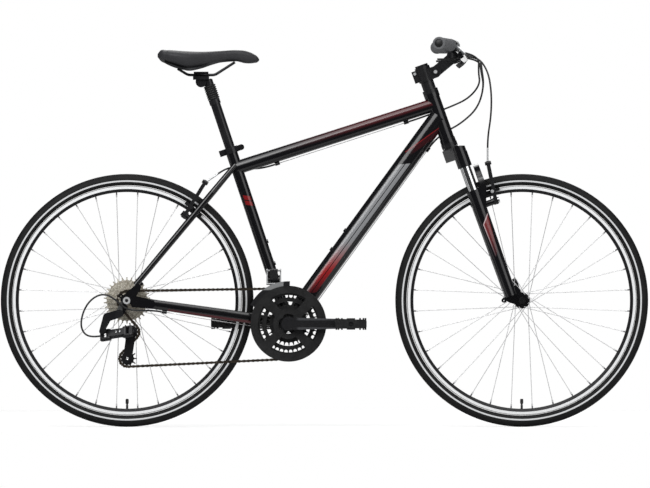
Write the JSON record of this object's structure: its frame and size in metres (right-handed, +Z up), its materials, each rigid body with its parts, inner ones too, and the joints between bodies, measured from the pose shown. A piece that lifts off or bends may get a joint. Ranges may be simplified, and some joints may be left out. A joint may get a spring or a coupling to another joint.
{
  "type": "hybrid bicycle",
  "caption": "Hybrid bicycle with a suspension fork, sprung seatpost, rim brakes, triple chainset with guard, derailleur gears and an adjustable stem",
  "frame": {"origin": "on the ground under the middle of the wheelbase, in the bike's middle plane", "axes": "+X points the way the bike rides, +Y to the rider's left, +Z up"},
  "size_m": [1.787, 0.647, 1.0707],
  "materials": {
    "frame_paint": "satin black lacquer",
    "fork_paint": "satin black lacquer",
    "black_alloy": "black anodised",
    "bright_steel": "polished",
    "brushed_alloy": "brushed",
    "rim_alloy": "black with bare brake tracks",
    "spoke_steel": "plain",
    "gear_steel": "golden brown",
    "chain_steel": "bronze brown",
    "dark_steel": "dark",
    "tyre": "matte with a pale stripe",
    "grip_rubber": "matte grey",
    "black_rubber": "matte",
    "black_plastic": "matte",
    "saddle_skin": "dark grey synthetic",
    "cable_sheath": "satin"
  },
  "bodies": {
    "frame": {"head_tube": "frame_paint", "top_tube": "frame_paint", "down_tube": "frame_paint", "seat_tube": "frame_paint", "chainstays": "frame_paint", "seatstays": "frame_paint", "headset_cups": "black_alloy", "bottom_bracket_cartridge": "dark_steel", "seat_collar": "black_alloy", "rear_axle": "dark_steel", "frame_cables": "cable_sheath", "front_derailleur_clamp": "black_alloy", "derailleur_knuckle": "black_alloy", "chain": "chain_steel"},
    "seatpost": {"seatpost": "black_alloy", "seatpost_boot": "black_rubber"},
    "saddle": {"seatpost_plunger": "black_alloy", "saddle_frame": "dark_steel", "saddle_cushion": "saddle_skin"},
    "seat_release": {"seat_release_lever": "brushed_alloy"},
    "steering": {"fork_crown": "fork_paint", "stanchions": "bright_steel", "stem_base": "black_alloy", "handlebar_cables": "cable_sheath"},
    "cockpit": {"stem_arm": "black_alloy", "handlebar": "black_alloy", "grips": "grip_rubber", "control_brackets": "black_plastic"},
    "brake_lever_r": {"brake_lever_right": "black_alloy"},
    "brake_lever_l": {"brake_lever_left": "black_alloy"},
    "shift_lever_r": {"shift_lever_right": "black_plastic"},
    "shift_lever_l": {"shift_lever_left": "black_plastic"},
    "fork_lower": {"fork_lowers": "fork_paint", "front_axle": "dark_steel"},
    "front_release": {"front_release_lever": "brushed_alloy"},
    "front_brake_r": {"front_brake_arm_right": "black_alloy"},
    "front_brake_l": {"front_brake_arm_left": "black_alloy"},
    "rear_brake_r": {"rear_brake_arm_right": "black_alloy"},
    "rear_brake_l": {"rear_brake_arm_left": "black_alloy"},
    "front_wheel": {"front_tyre": "tyre", "front_rim": "rim_alloy", "front_spokes": "spoke_steel", "front_hub": "black_alloy"},
    "rear_wheel": {"rear_tyre": "tyre", "rear_rim": "rim_alloy", "rear_spokes": "spoke_steel", "rear_hub": "black_alloy"},
    "sprockets": {"cassette": "gear_steel"},
    "rear_release": {"rear_release_lever": "brushed_alloy"},
    "crankset": {"cranks": "black_alloy", "chainrings": "black_plastic"},
    "pedal_r": {"pedal_right": "black_plastic"},
    "pedal_l": {"pedal_left": "black_plastic"},
    "gear_link": {"derailleur_link": "black_alloy"},
    "gear_carrier": {"derailleur_carrier": "black_alloy"},
    "gear_cage": {"derailleur_cage": "dark_steel"},
    "pulley_guide": {"guide_pulley": "black_plastic"},
    "pulley_tension": {"tension_pulley": "black_plastic"},
    "changer_link": {"front_derailleur_link": "bright_steel"},
    "changer_cage": {"front_derailleur_cage": "bright_steel"}
  },
  "joints": [
    {"name": "steer", "type": "hinge", "parent": "frame", "child": "steering", "pos_m": [0.31849, 0, 0.85243], "axis": [-0.3338, 0, 0.9426], "range_deg": [-60, 60], "deforming": ["handlebar_cables"]},
    {"name": "stem_tilt", "type": "hinge", "parent": "steering", "child": "cockpit", "pos_m": [0.30632, 0, 0.97967], "axis": [0, -1, 0], "range_deg": [-40, 20], "deforming": ["handlebar_cables"]},
    {"name": "fork_travel", "type": "slide", "parent": "steering", "child": "fork_lower", "axis": [-0.3338, 0, 0.9426], "range_m": [0, 0.063], "stiffness_N_per_m": 2462, "springref_m": -0.02, "deforming": ["handlebar_cables"]},
    {"name": "front_wheel_spin", "type": "hinge", "parent": "fork_lower", "child": "front_wheel", "pos_m": [0.5445, 0, 0.349], "axis": [0, 1, 0], "continuous": true},
    {"name": "rear_wheel_spin", "type": "hinge", "parent": "frame", "child": "rear_wheel", "pos_m": [-0.5445, 0, 0.349], "axis": [0, 1, 0], "continuous": true},
    {"name": "crank_spin", "type": "hinge", "parent": "frame", "child": "crankset", "pos_m": [-0.09907, 0, 0.285], "axis": [0, 1, 0], "continuous": true, "deforming": ["chain"]},
    {"name": "sprocket_spin", "type": "hinge", "parent": "frame", "child": "sprockets", "pos_m": [-0.5445, 0, 0.349], "axis": [0, 1, 0], "continuous": true, "deforming": ["chain"]},
    {"name": "pedal_right_spin", "type": "hinge", "parent": "crankset", "child": "pedal_r", "pos_m": [0.07293, 0, 0.285], "axis": [0, 1, 0], "continuous": true},
    {"name": "pedal_left_spin", "type": "hinge", "parent": "crankset", "child": "pedal_l", "pos_m": [-0.27107, 0, 0.285], "axis": [0, 1, 0], "continuous": true},
    {"name": "gear_shift", "type": "hinge", "parent": "frame", "child": "gear_link", "pos_m": [-0.59393, -0.07368, 0.25486], "axis": [0, 0.6, 0.8], "range_deg": [-7.5, 46], "deforming": ["chain"]},
    {"name": "gear_carrier_turn", "type": "hinge", "parent": "gear_link", "child": "gear_carrier", "pos_m": [-0.5495, -0.0832, 0.262], "axis": [0, 0.6, 0.8], "range_deg": [-46.5, 8], "deforming": ["chain"]},
    {"name": "gear_cage_swing", "type": "hinge", "parent": "gear_carrier", "child": "gear_cage", "pos_m": [-0.532, -0.0572, 0.262], "axis": [0, 1, 0], "range_deg": [-35, 20], "stiffness_Nm_per_rad": 0.2462, "deforming": ["chain"]},
    {"name": "guide_pulley_spin", "type": "hinge", "parent": "gear_cage", "child": "pulley_guide", "pos_m": [-0.532, -0.0572, 0.262], "axis": [0, 1, 0], "continuous": true, "deforming": ["chain"]},
    {"name": "tension_pulley_spin", "type": "hinge", "parent": "gear_cage", "child": "pulley_tension", "pos_m": [-0.54253, -0.0572, 0.18875], "axis": [0, 1, 0], "continuous": true, "deforming": ["chain"]},
    {"name": "changer_swing", "type": "hinge", "parent": "frame", "child": "changer_link", "pos_m": [-0.13948, -0.034, 0.40646], "axis": [-1, 0, 0], "range_deg": [0, 34], "deforming": ["chain"]},
    {"name": "changer_cage_turn", "type": "hinge", "parent": "changer_link", "child": "changer_cage", "pos_m": [-0.13948, -0.0416, 0.43132], "axis": [-1, 0, 0], "range_deg": [-34.5, 0.5], "deforming": ["chain"]},
    {"name": "brake_lever_right_pull", "type": "hinge", "parent": "cockpit", "child": "brake_lever_r", "pos_m": [0.37556, -0.17689, 1.02651], "axis": [-0.6606, 0.1591, -0.7337], "range_deg": [0, 22], "stiffness_Nm_per_rad": 0.4924, "springref_deg": -11.46, "deforming": ["handlebar_cables", "frame_cables"]},
    {"name": "brake_lever_left_pull", "type": "hinge", "parent": "cockpit", "child": "brake_lever_l", "pos_m": [0.37556, 0.17689, 1.02651], "axis": [0.6606, 0.1591, 0.7337], "range_deg": [0, 22], "stiffness_Nm_per_rad": 0.4924, "springref_deg": -11.46, "deforming": ["handlebar_cables", "frame_cables"]},
    {"name": "shift_lever_right_push", "type": "hinge", "parent": "cockpit", "child": "shift_lever_r", "pos_m": [0.3572, -0.14877, 1.01174], "axis": [0, 0, -1], "range_deg": [0, 30], "stiffness_Nm_per_rad": 0.1231, "springref_deg": -8.59, "deforming": ["handlebar_cables"]},
    {"name": "shift_lever_left_push", "type": "hinge", "parent": "cockpit", "child": "shift_lever_l", "pos_m": [0.3572, 0.14877, 1.01174], "axis": [0, 0, 1], "range_deg": [0, 30], "stiffness_Nm_per_rad": 0.1231, "springref_deg": -8.59, "deforming": ["handlebar_cables"]},
    {"name": "front_brake_left_close", "type": "hinge", "parent": "fork_lower", "child": "front_brake_l", "pos_m": [0.47266, 0.04, 0.62378], "axis": [0.9426, 0, 0.3338], "range_deg": [0, 3], "deforming": ["handlebar_cables"]},
    {"name": "front_brake_right_close", "type": "hinge", "parent": "fork_lower", "child": "front_brake_r", "pos_m": [0.47266, -0.04, 0.62378], "axis": [-0.9426, 0, -0.3338], "range_deg": [0, 3], "deforming": ["handlebar_cables"]},
    {"name": "rear_brake_left_close", "type": "hinge", "parent": "frame", "child": "rear_brake_l", "pos_m": [-0.38505, 0.04, 0.58448], "axis": [0.7688, 0, -0.6395], "range_deg": [0, 3], "deforming": ["frame_cables"]},
    {"name": "rear_brake_right_close", "type": "hinge", "parent": "frame", "child": "rear_brake_r", "pos_m": [-0.38505, -0.04, 0.58448], "axis": [-0.7688, 0, 0.6395], "range_deg": [0, 3], "deforming": ["frame_cables"]},
    {"name": "seat_height", "type": "slide", "parent": "frame", "child": "seatpost", "axis": [-0.3156, 0, 0.9489], "range_m": [-0.12, 0.03]},
    {"name": "seat_travel", "type": "slide", "parent": "seatpost", "child": "saddle", "axis": [-0.3156, 0, 0.9489], "range_m": [-0.03, 0], "stiffness_N_per_m": 3693, "springref_m": 0.008, "deforming": ["seatpost_boot"]},
    {"name": "seat_release_turn", "type": "hinge", "parent": "frame", "child": "seat_release", "pos_m": [-0.28267, 0.0204, 0.75455], "axis": [-0.3156, 0, 0.9489], "range_deg": [0, 170]},
    {"name": "front_release_turn", "type": "hinge", "parent": "fork_lower", "child": "front_release", "pos_m": [0.5445, 0.0724, 0.349], "axis": [-0.9426, 0, -0.3338], "range_deg": [0, 180]},
    {"name": "rear_release_turn", "type": "hinge", "parent": "frame", "child": "rear_release", "pos_m": [-0.5445, 0.0899, 0.349], "axis": [-0.7688, 0, 0.6395], "range_deg": [0, 180]}
  ],
  "couplings": [
    {"joint": "sprocket_spin", "follows": "crank_spin", "ratio": 3.6923},
    {"joint": "guide_pulley_spin", "follows": "crank_spin", "ratio": -4.3636},
    {"joint": "tension_pulley_spin", "follows": "crank_spin", "ratio": 4.3636},
    {"joint": "gear_carrier_turn", "follows": "gear_shift", "ratio": -1},
    {"joint": "changer_cage_turn", "follows": "changer_swing", "ratio": -1},
    {"joint": "front_brake_left_close", "follows": "brake_lever_left_pull", "ratio": 0.136},
    {"joint": "front_brake_right_close", "follows": "brake_lever_left_pull", "ratio": 0.136},
    {"joint": "rear_brake_left_close", "follows": "brake_lever_right_pull", "ratio": 0.136},
    {"joint": "rear_brake_right_close", "follows": "brake_lever_right_pull", "ratio": 0.136}
  ]
}
